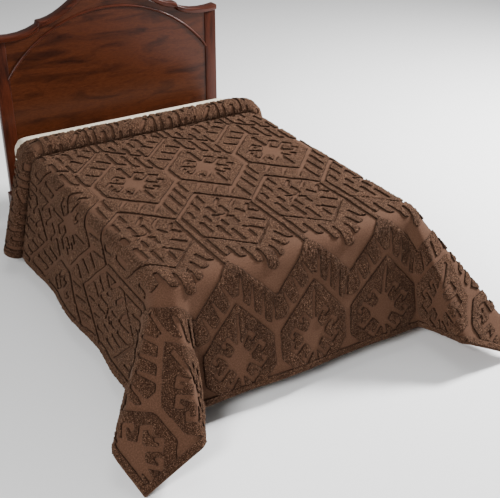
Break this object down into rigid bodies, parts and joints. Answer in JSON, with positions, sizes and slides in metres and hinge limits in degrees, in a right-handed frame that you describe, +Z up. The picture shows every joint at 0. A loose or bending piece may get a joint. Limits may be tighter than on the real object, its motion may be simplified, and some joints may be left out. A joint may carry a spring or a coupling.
{
  "type": "chenille bedspread on a plain bed",
  "caption": "Tufted chenille bedspread with a geometric medallion pattern, rolled back at the head and draped to near the floor over a plain double bed with a shaped wooden headboard.",
  "frame": {"origin": "on the floor below the middle of the mattress, in the middle of the flat bottom of the middle leg", "axes": "+Z up, +Y along the bed to the head, +X to the right as seen from the foot"},
  "size_m": [1.9979, 2.5095, 1.405],
  "materials": {
    "brown chenille": "short cut pile, matt",
    "cream sheet": "matt cotton",
    "mahogany": "satin varnish"
  },
  "bodies": {
    "root": {"bedspread": "brown chenille", "mattress": "cream sheet", "foundation": "cream sheet", "headboard_panel": "mahogany", "headboard_cap": "mahogany", "headboard_post_left": "mahogany", "headboard_post_right": "mahogany", "rail_left": "mahogany", "rail_right": "mahogany", "rail_foot": "mahogany", "slat_1": "mahogany", "slat_2": "mahogany", "slat_3": "mahogany", "slat_4": "mahogany", "middle_beam": "mahogany", "middle_leg": "mahogany", "foot_leg_left": "mahogany", "foot_leg_right": "mahogany"}
  },
  "joints": []
}
